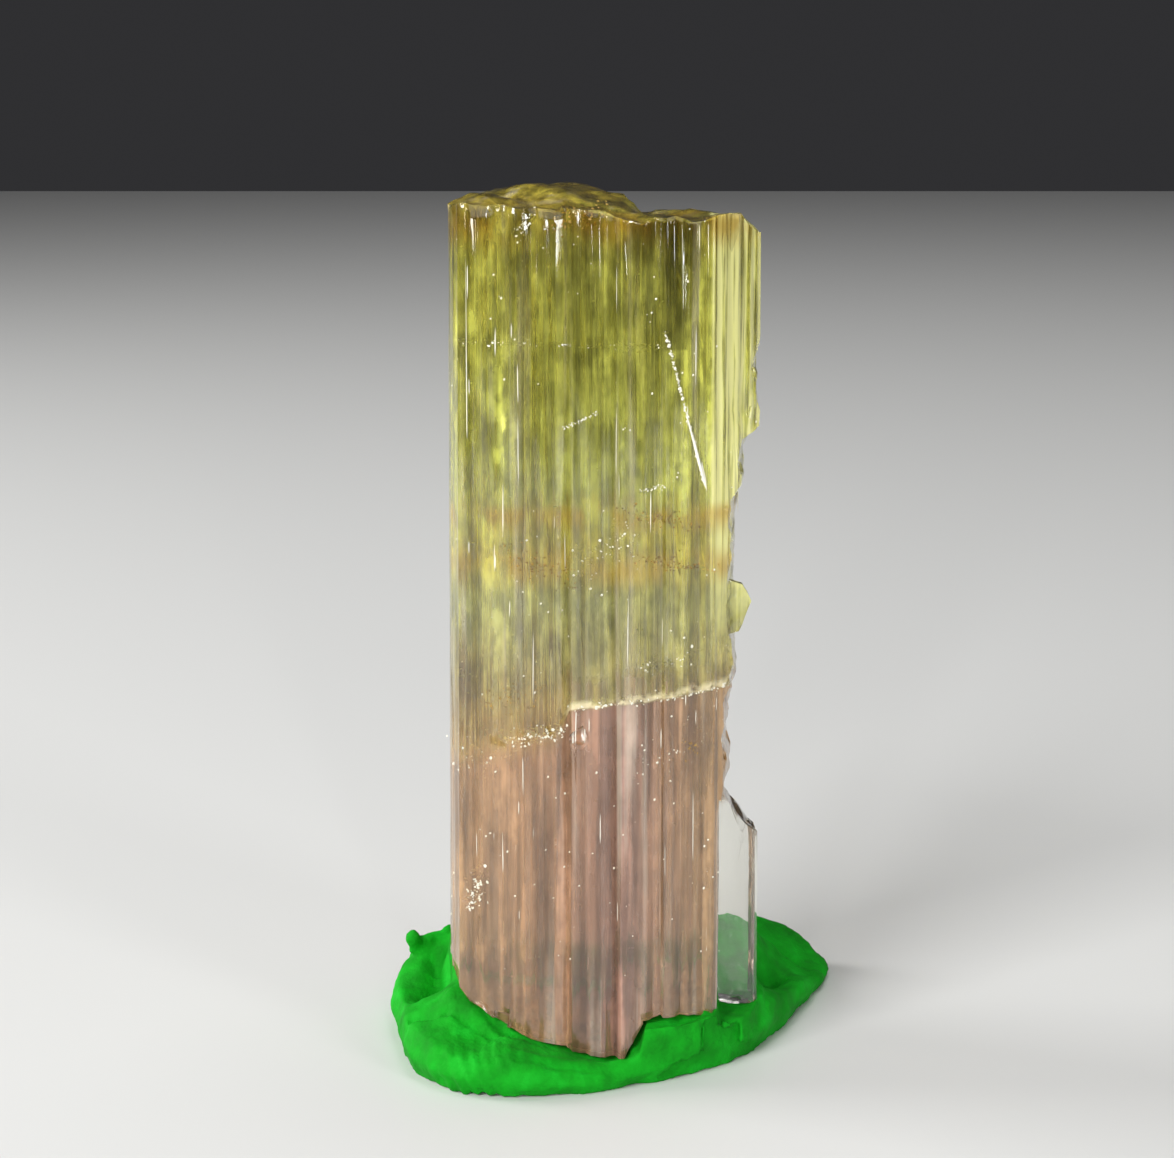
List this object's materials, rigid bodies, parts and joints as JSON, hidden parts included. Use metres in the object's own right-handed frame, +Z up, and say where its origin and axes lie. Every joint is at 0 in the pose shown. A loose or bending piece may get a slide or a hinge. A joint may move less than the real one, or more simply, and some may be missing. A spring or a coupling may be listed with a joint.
{
  "type": "tourmaline crystal",
  "caption": "Broken, striated prism of clear bicolour tourmaline, yellow-green above and pink below, held upright in a hand-pressed pad of green putty.",
  "frame": {"origin": "under the middle of the part, on the surface that it stands on", "axes": "+Z up, nearly along the crystal's length; +Y away from the viewer, into the broad striated front face; +X to the viewer's right"},
  "size_m": [0.0166, 0.0136, 0.031],
  "materials": {
    "tourmaline": "clear, glossy, finely ridged",
    "putty": "matte, finger-marked"
  },
  "bodies": {
    "root": {"crystal": "tourmaline", "putty_pad": "putty"}
  },
  "joints": []
}
